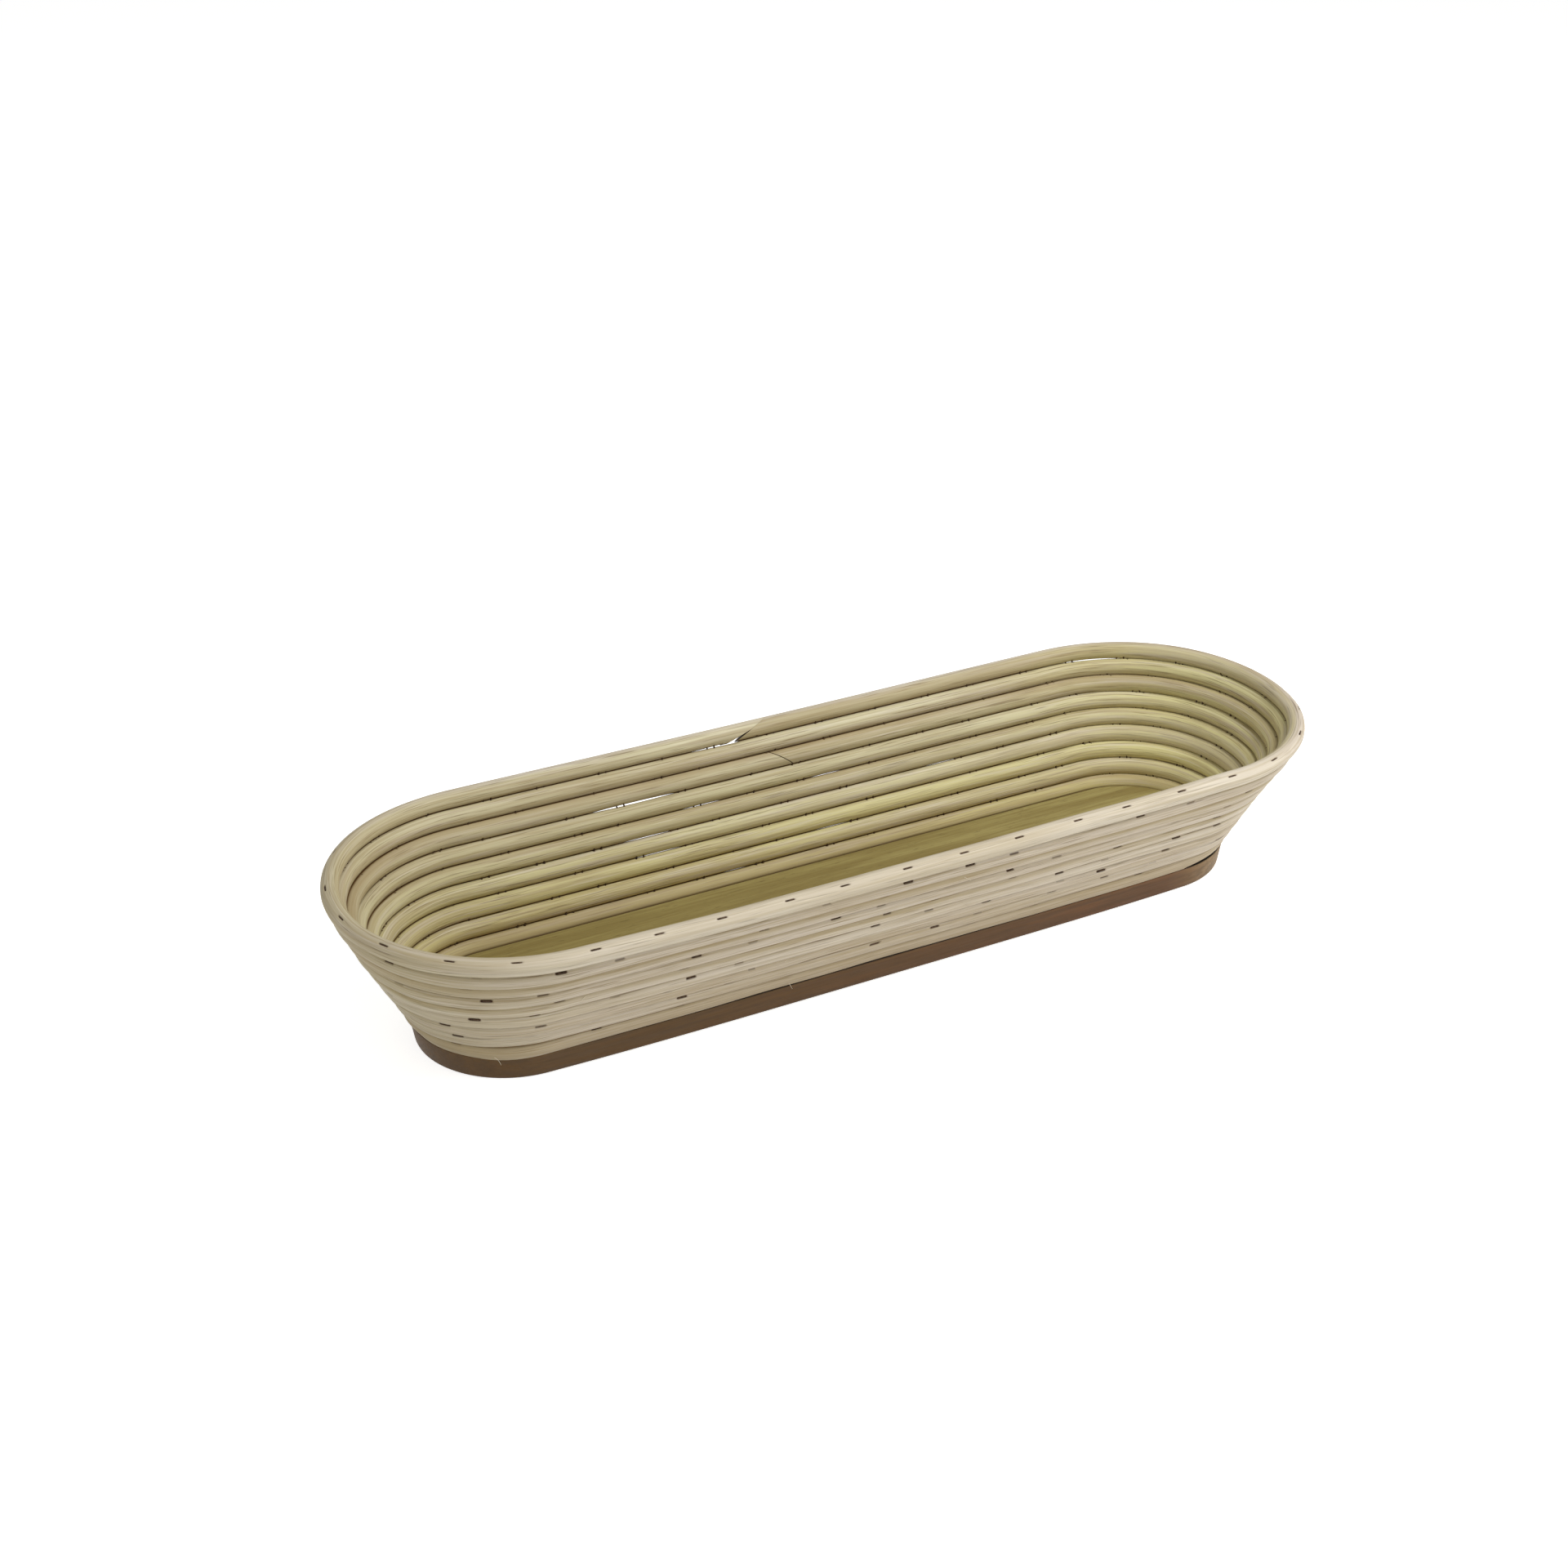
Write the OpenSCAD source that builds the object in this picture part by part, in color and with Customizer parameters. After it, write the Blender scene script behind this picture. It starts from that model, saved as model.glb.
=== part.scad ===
// Long proofing basket: nine hoops of cane stacked on a stepped wooden base board.
// Each hoop is one length of cane bent round and closed on itself with a slanted butt joint,
// so the wall is level all the way round. Staples hold every hoop to the one under it.
// Frame: Z up, X along the basket, origin on the table under the middle of the board. Millimetres.

/* [Cane] */
// Diameter of the cane
cane_d = 8; // [6:0.5:12]
// Clear gap left between a hoop and the next, at its tightest
hoop_gap = 0.2; // [0.1:0.05:0.6]
// How much is sanded off the outside of the hoops under the rim, which leaves a flat on each
sanded = 1; // [0.2:0.1:1.4]
// How much is sanded off the outside of the rim
rim_sanded = 0.4; // [0.2:0.1:1.4]

/* [Wall] */
// How far the long sides lean out from upright, in degrees
side_lean = 30; // [10:1:40]
// How far the rounded ends lean out from upright, in degrees
end_lean = 28; // [10:1:40]

/* [Base board] */
// Length of the straight part of the floor
straight_len = 323; // [200:1:500]
// Width of the floor inside the first hoop
floor_width = 78; // [50:1:160]
// Thickness of the board at the floor
board_thick = 16; // [10:0.5:30]
// Depth of the step that the first hoop is let into
step_depth = 4; // [2:0.5:8]
// Width of the step that the first hoop rests on
step_width = 6.8; // [4:0.1:12]
// How much the edge of the board draws in from the step to the foot
edge_taper = 3.4; // [0:0.1:5]
// Small flat that breaks the edges of the board
edge_ease = 0.8; // [0.2:0.1:2]
// Clearance between the first hoop and the step it sits in
seat_gap = 0.2; // [0.1:0.05:0.5]

/* [Slanted joints] */
// Open gap left in each joint
joint_gap = 0.5; // [0.45:0.05:1.5]
// Slant of the joints across the cane, in degrees
joint_slant = 45; // [20:1:60]
// Place of each hoop's joint along its long side, measured from the middle, bottom hoop first
joint_x = [42, -8, -60, 31, -30, 56, 4, -46, -6];
// Side that each joint is on: -1 front, 1 back
joint_side = [-1, -1, -1, -1, -1, -1, 1, -1, 1];
// Which way each joint slants
joint_turn = [1, -1, 1, 1, -1, 1, -1, 1, 1];

/* [Staples] */
// Width over the crown
crown_width = 4.4; // [3:0.1:8]
// Length of the legs
leg_len = 13; // [10:0.5:20]
// Width of the flat wire
wire_width = 1; // [0.6:0.1:1.6]
// Thickness of the flat wire
wire_thick = 0.7; // [0.4:0.1:1.2]
// How far the crown stands off the cane
crown_proud = 0.3; // [0:0.05:0.6]
// Spacing of the staples in the lower hoops
row_spacing = 31; // [20:1:60]
// Spacing of the staples in the rim
rim_spacing = 28.5; // [20:0.5:60]
// How far a staple strays from even spacing
row_scatter = 5; // [0:0.5:8]
// Place of a staple round the cane, outwards from the line of the wall, in degrees
row_angle = 38; // [20:1:55]
// Place of a rim staple round the cane, outwards from the line of the wall, in degrees
rim_angle = 15; // [0:1:45]
// Dip of the lowest staples into the board, in degrees
base_dip = 35; // [25:1:50]

/* [Hidden] */
$fn = 96;
hoop_count = 9;
cane_r = cane_d / 2;

// Step up from one hoop to the next, set by the steeper wall so that no two hoops touch
rise = (cane_d + hoop_gap) * cos(min(side_lean, end_lean));
side_flare = rise * tan(side_lean);
end_flare = rise * tan(end_lean);
straight_step = end_flare - side_flare;

// The first hoop seats in the step of the board
floor_r = floor_width / 2;
step_z = board_thick - step_depth;
first_r = floor_r + seat_gap + cane_r;
first_z = step_z + seat_gap + cane_r;

// Sizes of hoop k, counted from 1 at the bottom, to the hundredth so that rods and bends meet face to face
function hundredth(v) = round(v * 100) / 100;
function loop_r(k) = hundredth(first_r + (k - 1) * side_flare);
function loop_z(k) = hundredth(first_z + (k - 1) * rise);
function loop_s(k) = hundredth(straight_len / 2 + (k - 1) * straight_step);
function loop_len(k) = 4 * loop_s(k) + 2 * PI * loop_r(k);

// Lean of the wall where its outward direction in plan is a degrees from X
function lean(a) = atan2(side_flare + straight_step * abs(cos(a)), rise);

// Point on the centreline of hoop k, d mm along from the middle of the front: [x, y, outward direction]
function loop_at(k, d) =
    let (s = loop_s(k), r = loop_r(k), turn = PI * r)
    d < s ? [d, -r, -90]
    : d < s + turn ? let (a = -90 + (d - s) / turn * 180) [s + r * cos(a), r * sin(a), a]
    : d < 3 * s + turn ? [2 * s + turn - d, r, 90]
    : d < 3 * s + 2 * turn ? let (a = 90 + (d - 3 * s - turn) / turn * 180) [-s + r * cos(a), r * sin(a), a]
    : [d - loop_len(k), -r, -90];

// Number of staples in the row that holds hoop k, and where each lies along it
function row_count(k) = round(loop_len(k) / (k == hoop_count ? rim_spacing : row_spacing));
function row_at(k, i) =
    let (pitch = loop_len(k) / row_count(k), stray = row_scatter * sin(137.5 * i + 61 * k))
    pitch * (i + 0.5) + (k == hoop_count ? 0.3 : 1) * stray;

// Place of staple i round the cane of hoop k
function crown_angle(k, i) = k == hoop_count ? rim_angle : row_angle + 8 * sin(99 * i + 47 * k);

// Least open space between neighbouring hoops and within a hoop's own joint, measured on points
measured = [for (a = [0:5:360]) norm([side_flare + straight_step * abs(cos(a)), rise]) - cane_d];
echo(least_gap_between_hoops_mm = min(measured), least_gap_in_a_hoop_mm = joint_gap);

cane_color = [0.90, 0.82, 0.66];
board_color = [0.50, 0.36, 0.20];
wire_color = [0.62, 0.62, 0.64];

// Section drawn at radius r and height z, carried once round a long loop with straight sides 2 * s long
module round_loop(s) {
    translate([s, 0, 0]) rotate([0, 0, -90]) rotate_extrude(angle = 180) children();
    translate([-s, 0, 0]) rotate([0, 0, 90]) rotate_extrude(angle = 180) children();
    translate([-s, 0, 0]) rotate([90, 0, 90]) linear_extrude(height = 2 * s) children();
    translate([s, 0, 0]) rotate([90, 0, -90]) linear_extrude(height = 2 * s) children();
}

// Half section of the board: foot, drawn-in edge, step for the first hoop, floor
module board_section() {
    step_r = floor_r + step_width;
    foot_r = step_r - edge_taper;
    polygon([
        [0, 0], [foot_r - edge_ease, 0], [foot_r, edge_ease],
        [step_r, step_z - edge_ease], [step_r - edge_ease, step_z],
        [floor_r, step_z], [floor_r, board_thick - edge_ease], [floor_r - edge_ease, board_thick],
        [0, board_thick]
    ]);
}

// Round cane with a flat sanded on the side that faces out of the wall
module cane_section(depth) {
    difference() {
        circle(r = cane_r);
        rotate(-side_lean) translate([cane_r - depth, -cane_d]) square([cane_d, 2 * cane_d]);
    }
}

// One hoop of cane with its slanted joint left open by the joint gap
module cane_hoop(k) {
    side = joint_side[k - 1];
    difference() {
        round_loop(loop_s(k)) translate([loop_r(k), loop_z(k)]) cane_section(k == hoop_count ? rim_sanded : sanded);
        translate([joint_x[k - 1], side * loop_r(k), loop_z(k)])
            rotate([0, 0, 90 * side]) rotate([0, side_lean, 0]) rotate([joint_turn[k - 1] * joint_slant, 0, 0])
                cube([2 * cane_d, joint_gap, 4 * cane_d], center = true);
    }
}

// One staple: crown along Y, legs down, flat wire
module staple() {
    half = crown_width / 2;
    translate([-wire_width / 2, 0, 0]) rotate([90, 0, 90]) linear_extrude(height = wire_width)
        polygon([
            [-half, crown_proud], [half, crown_proud], [half, -leg_len], [half - wire_thick, -leg_len],
            [half - wire_thick, crown_proud - wire_thick], [wire_thick - half, crown_proud - wire_thick],
            [wire_thick - half, -leg_len], [-half, -leg_len]
        ]);
}

// Row of staples that hold hoop k to the hoop under it, or the first hoop to the board.
// The legs cross the line where the two canes meet; the lowest row points through the cane into the board.
module staple_row(k) {
    for (i = [0 : row_count(k) - 1]) {
        place = loop_at(k, row_at(k, i));
        tip = k == 1 ? 90 - base_dip : lean(place[2]) + crown_angle(k, i);
        aim = k == 1 ? 90 - base_dip : lean(place[2]) + crown_angle(k, i) / 2;
        translate([place[0], place[1], loop_z(k)]) rotate([0, 0, place[2]])
            translate([cane_r * sin(tip), 0, cane_r * cos(tip)]) rotate([0, aim, 0]) staple();
    }
}

module base_board() { color(board_color) round_loop(straight_len / 2) board_section(); }
module hoop_1() { color(cane_color) cane_hoop(1); }
module hoop_2() { color(cane_color) cane_hoop(2); }
module hoop_3() { color(cane_color) cane_hoop(3); }
module hoop_4() { color(cane_color) cane_hoop(4); }
module hoop_5() { color(cane_color) cane_hoop(5); }
module hoop_6() { color(cane_color) cane_hoop(6); }
module hoop_7() { color(cane_color) cane_hoop(7); }
module hoop_8() { color(cane_color) cane_hoop(8); }
module rim_hoop() { color(cane_color) cane_hoop(hoop_count); }
module staples_1() { color(wire_color) staple_row(1); }
module staples_2() { color(wire_color) staple_row(2); }
module staples_3() { color(wire_color) staple_row(3); }
module staples_4() { color(wire_color) staple_row(4); }
module staples_5() { color(wire_color) staple_row(5); }
module staples_6() { color(wire_color) staple_row(6); }
module staples_7() { color(wire_color) staple_row(7); }
module staples_8() { color(wire_color) staple_row(8); }
module rim_staples() { color(wire_color) staple_row(hoop_count); }

base_board();
hoop_1();
hoop_2();
hoop_3();
hoop_4();
hoop_5();
hoop_6();
hoop_7();
hoop_8();
rim_hoop();
staples_1();
staples_2();
staples_3();
staples_4();
staples_5();
staples_6();
staples_7();
staples_8();
rim_staples();
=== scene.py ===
"""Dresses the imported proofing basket: cane hoops, base board, wire staples, loose fibres and stage."""
import math

import bmesh
import bpy
import numpy as np
from mathutils import Matrix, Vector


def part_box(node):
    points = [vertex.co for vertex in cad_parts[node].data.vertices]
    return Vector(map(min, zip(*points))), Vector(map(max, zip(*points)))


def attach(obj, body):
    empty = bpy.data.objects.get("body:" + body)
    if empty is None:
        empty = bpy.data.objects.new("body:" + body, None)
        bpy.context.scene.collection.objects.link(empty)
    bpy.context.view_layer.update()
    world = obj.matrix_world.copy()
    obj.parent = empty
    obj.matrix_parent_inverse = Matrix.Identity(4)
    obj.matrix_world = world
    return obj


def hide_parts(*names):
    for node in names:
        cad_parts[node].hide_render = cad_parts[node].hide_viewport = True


bl_info = {
    "name": "Cane proofing basket",
    "version": (1, 0, 0),
    "blender": (4, 5, 0),
    "location": "View3D > Sidebar > Basket",
    "description": "Makes a long cane proofing basket and its stage",
    "category": "Object",
}

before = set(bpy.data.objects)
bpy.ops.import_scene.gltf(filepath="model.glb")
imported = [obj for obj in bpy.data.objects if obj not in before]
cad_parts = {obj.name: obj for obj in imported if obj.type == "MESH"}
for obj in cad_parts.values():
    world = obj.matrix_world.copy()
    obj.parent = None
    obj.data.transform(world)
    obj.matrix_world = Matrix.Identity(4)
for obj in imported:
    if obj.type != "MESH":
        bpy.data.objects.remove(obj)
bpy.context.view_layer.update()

# Bottom hoop first, as they are stacked
HOOPS = [f"hoop_{k}" for k in range(1, 9)] + ["rim_hoop"]
ROWS = [f"staples_{k}" for k in range(1, 9)] + ["rim_staples"]
# Number of the rim, a millimetre in metres, a whole turn in radians
RIM = len(HOOPS)
MM = 0.001
TURN = 2 * math.pi

# Where each hoop's slanted joint lies: place along the side in mm, side (-1 front, 1 back), way it slants,
# slant in degrees, gap in mm. The joints on the front are sanded over and close to hairlines.
JOINTS = [
    (42, -1, 1, 45, 0.05), (-8, -1, -1, 45, 0.05), (-60, -1, 1, 45, 0.05), (31, -1, 1, 45, 0.05),
    (-30, -1, -1, 45, 0.05), (56, -1, 1, 45, 0.05), (4, 1, -1, 54, 0.35), (-46, -1, 1, 45, 0.05),
    (-8, 1, 1, 65, 0.1)]
# Least gap of a joint that shows, and how far from a cut the rings slide to slant it, in mm
OPEN_GAP = 0.1
JOINT_REACH = 20

# Bottom hoop first: how far sanding flattens it, 0 to 1, how far it stands out of the wall in mm, and its
# tone, from browner than the rest, below 0, to paler, above 0
SANDING = [0.5, 1.0, 1.0, 0.9, 0.5, 0.5, 0.35, 0.4, 0.15]
OUTSET = [0.6, 0.2, 0.05, -0.05, -0.4, -0.1, -0.35, 0.35, 0.1]
TONE = [-0.5, 0.05, -0.05, 0.15, 0.15, 0.0, -0.15, -0.1, -0.2]

# Thin splits along the front: hoop, middle and half length in mm, angle round the cane in degrees,
# darkness of the painted shade in the split
SPLITS = [
    (8, 38, 30, 100, 0.42), (7, -42, 20, 84, 0.34), (3, 8, 24, 96, 0.3), (5, 86, 22, 102, 0.34),
    (6, -120, 18, 92, 0.3)]

# Open slits between a hoop and the one below: hoop, side (1 back), middle, half length and height in mm
SLITS = [
    (9, 1, 183, 15, 0.4), (7, 1, -73, 22, 0.7), (5, 1, -70, 14, 0.3), (6, 1, -40, 12, 0.25),
    (4, 1, -66, 15, 0.25), (6, 1, 26, 10, 0.25), (3, 1, 24, 12, 0.2), (2, 1, -30, 10, 0.2),
    (5, 1, 88, 12, 0.2)]

# Gap under the first hoop at the right: middle, round from the front, and half length, in mm
END_GAP = (188, 26)

# Loose fibres: hoop, distance along the front in mm, angle round the cane in degrees, length in mm, lean out
# of the cane's direction in degrees
LOOSE = [
    (5, -156, 70, 4.5, 60), (1, -185, 95, 4, -50), (1, -51, 95, 3.5, -60), (3, -58, 50, 3, 20),
    (7, 20, 60, 3, -30)]

# Side on which the rim is rubbed most: outwards and up the wall
RIM_RUB = (0.64, 0.77)
# How far in, in mm, a hoop's upper part is missed by sanding, and how much browner that is painted,
# as shade under the hoop above
RECESS_FULL, RECESS_SHADE = 0.4, 0.55
# Start and length in mm of fades along: the rim's ends, its browner inside, grooves in the right end
RIM_END, BROWN_END, GROOVE_END = (170, 50), (120, 70), (130, 60)
# Lengths in mm of the rim's pale loose end, and of the drift of tone inside the other hoops: painted
# light, paler to the right and browner to the left
PALE_REACH, DRIFT_REACH = 80, 150
# Groove lines, painted shade with some dust where hoops meet: start inside and outside, as a share
# of half a hoop's height, and softness
GROOVE_START, GROOVE_SOFT = (0.88, 0.9), 0.1
# Darkness of the first hoop's painted shade lines over the board's edge and along the floor
EDGE_LINE, FLOOR_LINE = 0.3, 0.7
# Length and width in mm of the dents at the staples' legs
DENT_LONG, DENT_WIDE = 0.8, 1.0
# Darkness of the painted shade round the cut of an open joint, and metres of fibre pattern from one hoop
# to the next
CUT_DARK, PATTERN_STEP = 0.4, 3.1


def linear(text):
    """Turns an sRGB hex colour into linear red, green and blue."""
    parts = [int(text[i:i + 2], 16) / 255 for i in (0, 2, 4)]
    return tuple(p / 12.92 if p <= 0.04045 else ((p + 0.055) / 1.055) ** 2.4 for p in parts)


def length(name, words, mm):
    """A length that the user can change, given in millimetres."""
    return bpy.props.FloatProperty(name=name, description=words, default=mm * MM, unit="LENGTH", precision=5)


def number(name, words, value):
    """A plain number that the user can change."""
    return bpy.props.FloatProperty(name=name, description=words, default=value)


def colour(name, words, text):
    """A colour that the user can change, given as sRGB hex."""
    return bpy.props.FloatVectorProperty(
        name=name, description=words, default=linear(text), subtype="COLOR", size=3, min=0, max=1)


class CaneSettings(bpy.types.PropertyGroup):
    """Shape and finish of the cane."""
    sides: bpy.props.IntProperty(name="Sides", description="Points round the cane", default=64, min=16)
    ring_step: length("Ring step", "Spacing of rings along the cane", 3.5)
    squeeze: length("Squeeze", "How far the hoops press into each other", 0.04)
    wall_stray: length("Wall stray", "How far a hoop wanders in and out", 0.3)
    thinning: number("Thinning", "Share by which the cane thins inside", 0.06)
    sanded: length("Sanded", "How much is sanded off outside", 0.9)
    squareness: number("Squareness", "How far sanding flattens the outside", 2.2)
    pit_length: length("Pit length", "Length of the pit at a staple", 4.7)
    pit_width: length("Pit width", "Width of the pit at a staple", 0.6)
    pit_torn: number("Torn pits", "How much wider pits under the rim are", 1.8)
    pit_depth: length("Pit depth", "Depth of the pit at a staple", 0.8)
    dent_depth: length("Dent depth", "Depth of the dents at the legs", 0.4)
    rim_lift: length("Rim lift", "Height of the slit under the rim's loose end", 0.85)
    rim_lift_reach: length("Rim lift reach", "Length of that slit", 25)
    rim_lift_foot: length("Rim lift foot", "How far it stops short of the joint", 8)
    rim_notch: number("Rim notch", "How much further back the loose end's foot is cut", 0.45)
    end_pale: number("End paleness", "How much paler the rim's loose end is", 0.35)
    # Painted shade: darkness of the grooves outside, and the browner underside inside
    outer_groove: number("Outer groove", "Darkness of grooves outside, as a share", 0.65)
    under_shade: number("Under shade", "How much browner its underside is inside", 0.22)
    # Painted light: the inside is painted paler to the right and browner to the left
    tone_and_light_drift: number("Tone drift", "How much paler the inside grows to the right", 0.2)
    rim_pale: number("Rim paleness", "How much paler the rubbed top of the rim is", 0.47)
    foot_reach: length("Foot reach", "How much further the foot reaches at the right end", 2.2)
    rim_shift: length("Rim shift", "How far along the rim sits", 2.5)
    edge_overlap: length("Edge overlap", "How far the first hoop comes down over the board's edge", 2.3)
    end_drop: length("End drop", "How much lower it comes at the left end", 1.8)
    end_gap: length("End gap", "Height of the gap under its right end", 3.6)
    front_bow: length("Front bow", "How far the whole front, with the board, stands out", 1.8)
    front_belly: length("Front belly", "How much further the front rim bows out", 1.0)
    back_belly: length("Back belly", "How far the back rim bows out", -1.0)
    corner_fullness: length("Corner fullness", "How much fuller than half circles ends are", 0.8)
    end_swell: length("End swell", "How far the left end swells out at half height", 1.8)
    pale: colour("Pale cane", "Sanded cane outside the basket", "d0c4b3")
    warm: colour("Warm cane", "Cane high up inside the basket", "d4cca7")
    olive: colour("Olive cane", "Cane low down inside the basket", "d5cb87")
    # Painted shade with an olive hue: darker cane outside the left end, away from the key lamp
    left: colour("Left cane", "Cane outside the left end", "a89d68")
    # Painted light: paler, yellower cane inside the right end, which faces away from the key lamp
    far: colour("Far cane", "Cane inside the right end", "e0d896")
    # Also mixed in as painted light where the inside is painted paler to the right
    cream_and_light: colour("Cream", "Palest, most rubbed cane", "eae1c9")
    # Also mixed in as painted shade where the inside is painted browner to the left and on recessed hoops
    stain_and_shade: colour("Stain", "Greyer, browner stretches", "a8946c")
    fibre: colour("Fibre", "Dark fibres along the cane", "6b5434")
    groove: colour("Groove", "Dust and shade where two hoops meet", "5c3d14")
    # Painted shade in staple pits, leg dents, splits and the cuts of open joints
    hole_shade: colour("Hole", "Torn fibre in a staple's pit", "3d2204")


class BoardSettings(bpy.types.PropertyGroup):
    """Shape and finish of the base board."""
    step_depth: length("Step depth", "Depth of the first hoop's step", 4.8)
    edge_worn: length("Edge worn", "How far the edge's top is sanded back", 1.0)
    step_width: length("Step width", "Width of that step", 6.8)
    edge_taper: length("Edge taper", "How much the edge draws in towards the foot", 1.7)
    end_reach: length("End reach", "How far the board's right end comes out", 1.1)
    edge_round: length("Edge round", "Radius of the broken edges", 0.9)
    light: colour("Light grain", "Pale part of the grain", "9a8b53")
    # Painted light: the grain on the board's top is paler towards the right, against the front wall's shadow
    painted_light_grain: colour("Faded grain", "Pale grain towards the right end", "a4975f")
    dark: colour("Dark grain", "Dark part of the grain", "83723f")
    pore: colour("Pores", "Short dark pores", "4a371f")
    # Browner than the top, and darker as painted shade on the side under the first hoop
    edge: colour("Edge", "Board's edge and underside", "5d421e")
    # Painted shade: the step under the first hoop, in the shade of the gap
    ledge_shade: colour("Ledge", "Step under the first hoop", "1f1408")
    tip: colour("Right tip", "Board's edge round the right end", "98805a")
    # Edge colour towards the right end: the edge is paler there
    edge_pale: colour("Pale edge", "Board's edge where it is bleached", "704a2c")


class StapleSettings(bpy.types.PropertyGroup):
    """Shape and finish of the staples."""
    crown: length("Crown", "Width over the crown", 4.2)
    leg: length("Leg", "Length of the legs", 12.0)
    wire_width: length("Wire width", "Width of the flat wire", 0.55)
    wire_thick: length("Wire thickness", "Thickness of the flat wire", 0.6)
    sunk: length("Sunk", "How far a crown lies under the cane's skin", 0.4)
    buried: length("Buried", "How much deeper the hidden crowns lie", 0.7)
    inside: length("Leg offset", "How far inside the line of contact the legs cross", 1.0)
    # Darker brown than bare steel: tarnish, and painted shade of the pit the crown lies in
    steel: colour("Steel", "Dull wire", "553c1f")
    rust: colour("Tarnish", "Brown tarnish on the wire", "3a230c")


class StageSettings(bpy.types.PropertyGroup):
    """Camera, light and floor."""
    azimuth: bpy.props.FloatProperty(
        name="Azimuth", description="Camera's direction", default=math.radians(-29.0), subtype="ANGLE")
    elevation: bpy.props.FloatProperty(
        name="Elevation", description="Camera's height angle", default=math.radians(28.92), subtype="ANGLE")
    distance: length("Distance", "Camera to the middle of the basket", 1120.9)
    aim_height: length("Aim height", "Height of the point it turns about", 37.0)
    lens: number("Lens", "Focal length in mm on a 36 mm sensor", 56.22)
    shift_x: number("Shift X", "Sideways shift of the picture", -0.03393)
    shift_y: number("Shift Y", "Upward shift of the picture", 0.05029)
    ambient: number("Ambient", "Strength of the light from all round", 0.3)
    key: number("Key", "Power of the large high lamp in watts", 13.0)
    front: number("Front", "Power of the low front lamp in watts", 6.0)
    fill: number("Fill", "Power of the lamp at the left in watts", 7.0)
    glow: number("Glow", "Lift of the floor towards white", 0.7)
    floor: colour("Floor", "Plain pale floor", "f2f2f0")


def hoop_size(node):
    """Half straight length, bend radius, height and cane radius of a CAD hoop, read from its box:
    the box is a cane thick in Z, and half its width is the bend plus the cane's radius, to 0.1 mm."""
    low, high = (np.array(corner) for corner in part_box(node))
    half = (high - low) / 2
    return half[0] - half[1], half[1] - half[2], (high[2] + low[2]) / 2, half[2]


SIZES = [hoop_size(node) for node in HOOPS]
CANE_R = SIZES[0][3]
STEPS = [(SIZES[-1][i] - SIZES[0][i]) / (len(SIZES) - 1) for i in range(3)]


def loop_length(size):
    """Length round a hoop's centreline: two straights and two half turns."""
    return 4 * size[0] + TURN * size[1]


def loop_at(size, distance):
    """Points on a hoop's centreline from the middle of the front, round the right end, the back and the left
    end: the middle of the turn moves along the straights, and the outward angle grows round the ends.
    Gives x, y and that angle in plan."""
    straight, bend = size[0], size[1]
    turn = math.pi * bend
    d = np.mod(distance, loop_length(size))
    middle = np.clip(d, 0, straight) - np.clip(d - straight - turn, 0, 2 * straight)
    middle = middle + np.clip(d - 3 * straight - 2 * turn, 0, straight)
    out = (np.clip(d - straight, 0, turn) + np.clip(d - 3 * straight - turn, 0, turn)) / bend - math.pi / 2
    return middle + bend * np.cos(out), bend * np.sin(out), out


def distance_of(size, x, y):
    """Distance round a hoop of the points of its centreline nearest to x, y: the reverse of loop_at."""
    straight, bend = size[0], size[1]
    turn = math.pi * bend
    angle = np.arctan2(y, x - np.clip(x, -straight, straight))
    right = straight + (angle + math.pi / 2) * bend
    left = 3 * straight + turn + (np.mod(angle, TURN) - math.pi / 2) * bend
    side = np.where(y < 0, np.mod(x, loop_length(size)), 2 * straight + turn - x)
    return np.select([x > straight, x < -straight], [right, left], side)


def wave(turn, seed, low, high):
    """Slow unevenness round a hoop, about -1 to 1: sines of low to high waves a turn, phases scattered."""
    count = np.arange(low, high + 1)
    phase = TURN * np.mod(np.sin(count * 12.99 + seed * 78.23) * 43758.5, 1.0)
    return np.sin(np.multiply.outer(turn, count) + phase).sum(-1) / math.sqrt(0.5 * len(count)) * 0.5


def smooth(value):
    """0 below 0, 1 above 1 and an even S between."""
    v = np.clip(value, 0.0, 1.0)
    return v * v * (3 - 2 * v)


def ramp(place, start, reach):
    """0 up to start and 1 from reach beyond it, both in mm, with an even S between."""
    return smooth((place / MM - start) / reach)


def hump(place, middle, reach):
    """1 at the middle, falling as the square to 0 at reach on either side, both in mm."""
    return np.clip(1 - ((place / MM - middle) / reach) ** 2, 0, 1)


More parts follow.
